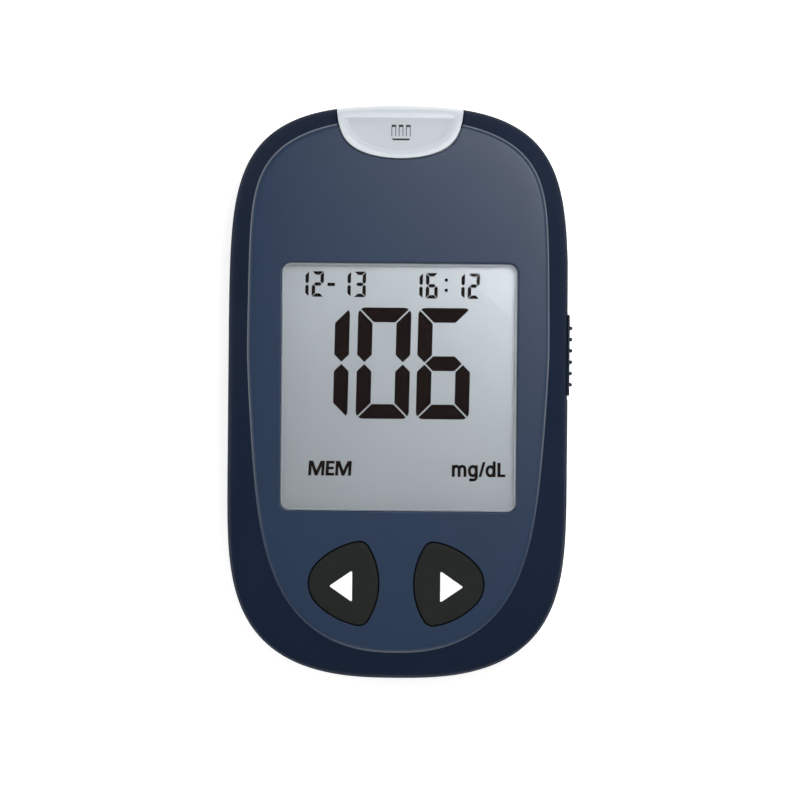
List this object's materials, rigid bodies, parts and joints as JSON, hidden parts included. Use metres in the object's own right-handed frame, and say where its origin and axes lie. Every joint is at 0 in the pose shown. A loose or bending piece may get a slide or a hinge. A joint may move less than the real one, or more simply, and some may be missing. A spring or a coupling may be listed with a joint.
{
  "type": "blood glucose meter",
  "caption": "Pocket blood glucose meter with a framed numeric display, arrow buttons, a strip port cap, a ribbed side ejector and a tilt-out battery door.",
  "frame": {"origin": "on the back face, in the middle of the body", "axes": "+X towards the ribbed ejector slider, +Y towards the strip port, +Z out of the display"},
  "size_m": [0.0577, 0.096, 0.0201],
  "materials": {
    "cover_blue": "fine satin moulding, dark blue grey",
    "cover_blue_dark": "fine spark-eroded texture, dark blue",
    "lens_clear": "polished clear acrylic",
    "tape_black": "adhesive film",
    "foam_black": "closed-cell foam",
    "polariser_silver": "silver grey film",
    "display_glass": "thin glass",
    "reflector_film": "brushed silver film",
    "frame_white": "moulded, satin",
    "zebra_rubber": "layered silicone",
    "board_green": "solder mask",
    "chip_black": "moulded epoxy",
    "plated_steel": "nickel plated",
    "component_tan": "fired ceramic",
    "button_black": "satin black with a soft sheen",
    "arrow_white": "moulded white inlay",
    "switch_black": "moulded, satin",
    "cap_grey": "light grey, semi-gloss",
    "connector_ivory": "moulded nylon",
    "gold_plate": "gold plated spring bronze",
    "slider_blue": "satin, very dark blue",
    "cell_steel": "nickel plated, fine brushing",
    "label_silver": "blank satin film label"
  },
  "bodies": {
    "meter": {"front_cover": "cover_blue", "back_cover": "cover_blue_dark", "display_lens": "lens_clear", "lens_tape": "tape_black", "dust_gasket": "foam_black", "lcd_front_polariser": "polariser_silver", "lcd_front_glass": "display_glass", "lcd_rear_glass": "display_glass", "lcd_reflector": "reflector_film", "lcd_frame": "frame_white", "zebra_connector": "zebra_rubber", "main_board": "board_green", "microcontroller": "chip_black", "memory_chip": "chip_black", "analog_chip": "chip_black", "watch_crystal": "plated_steel", "small_components": "component_tan", "buzzer": "chip_black", "left_dome": "plated_steel", "right_dome": "plated_steel", "left_switch": "switch_black", "right_switch": "switch_black", "left_switch_cover": "plated_steel", "right_switch_cover": "plated_steel", "strip_port_cap": "cap_grey", "strip_connector": "connector_ivory", "strip_contacts": "gold_plate", "ejector_spring": "plated_steel", "left_cell": "cell_steel", "right_cell": "cell_steel", "positive_contacts": "gold_plate", "negative_contacts": "gold_plate", "case_screws": "plated_steel", "board_screws": "plated_steel", "back_label": "label_silver", "data_jack": "switch_black", "jack_contacts": "gold_plate"},
    "left_key": {"left_button": "button_black", "left_arrow": "arrow_white", "left_plunger": "switch_black"},
    "right_key": {"right_button": "button_black", "right_arrow": "arrow_white", "right_plunger": "switch_black"},
    "ejector": {"ejector_slider": "slider_blue", "ejector_arm": "frame_white"},
    "door": {"battery_door": "cover_blue_dark", "battery_latch": "cover_blue_dark"}
  },
  "joints": [
    {"name": "left_button_press", "type": "slide", "parent": "meter", "child": "left_key", "axis": [0, 0, -1], "range_m": [0, 0.0006], "stiffness_N_per_m": 1500, "springref_m": -0.0003, "deforming": ["left_dome"]},
    {"name": "right_button_press", "type": "slide", "parent": "meter", "child": "right_key", "axis": [0, 0, -1], "range_m": [0, 0.0006], "stiffness_N_per_m": 1500, "springref_m": -0.0003, "deforming": ["right_dome"]},
    {"name": "ejector_slide", "type": "slide", "parent": "meter", "child": "ejector", "axis": [0, 1, 0], "range_m": [0, 0.008], "stiffness_N_per_m": 60, "springref_m": -0.004, "deforming": ["ejector_spring"]},
    {"name": "battery_door_tilt", "type": "hinge", "parent": "meter", "child": "door", "pos_m": [0, 0.0016, 0.0001], "axis": [1, 0, 0], "range_deg": [0, 55], "deforming": ["battery_latch"]}
  ]
}
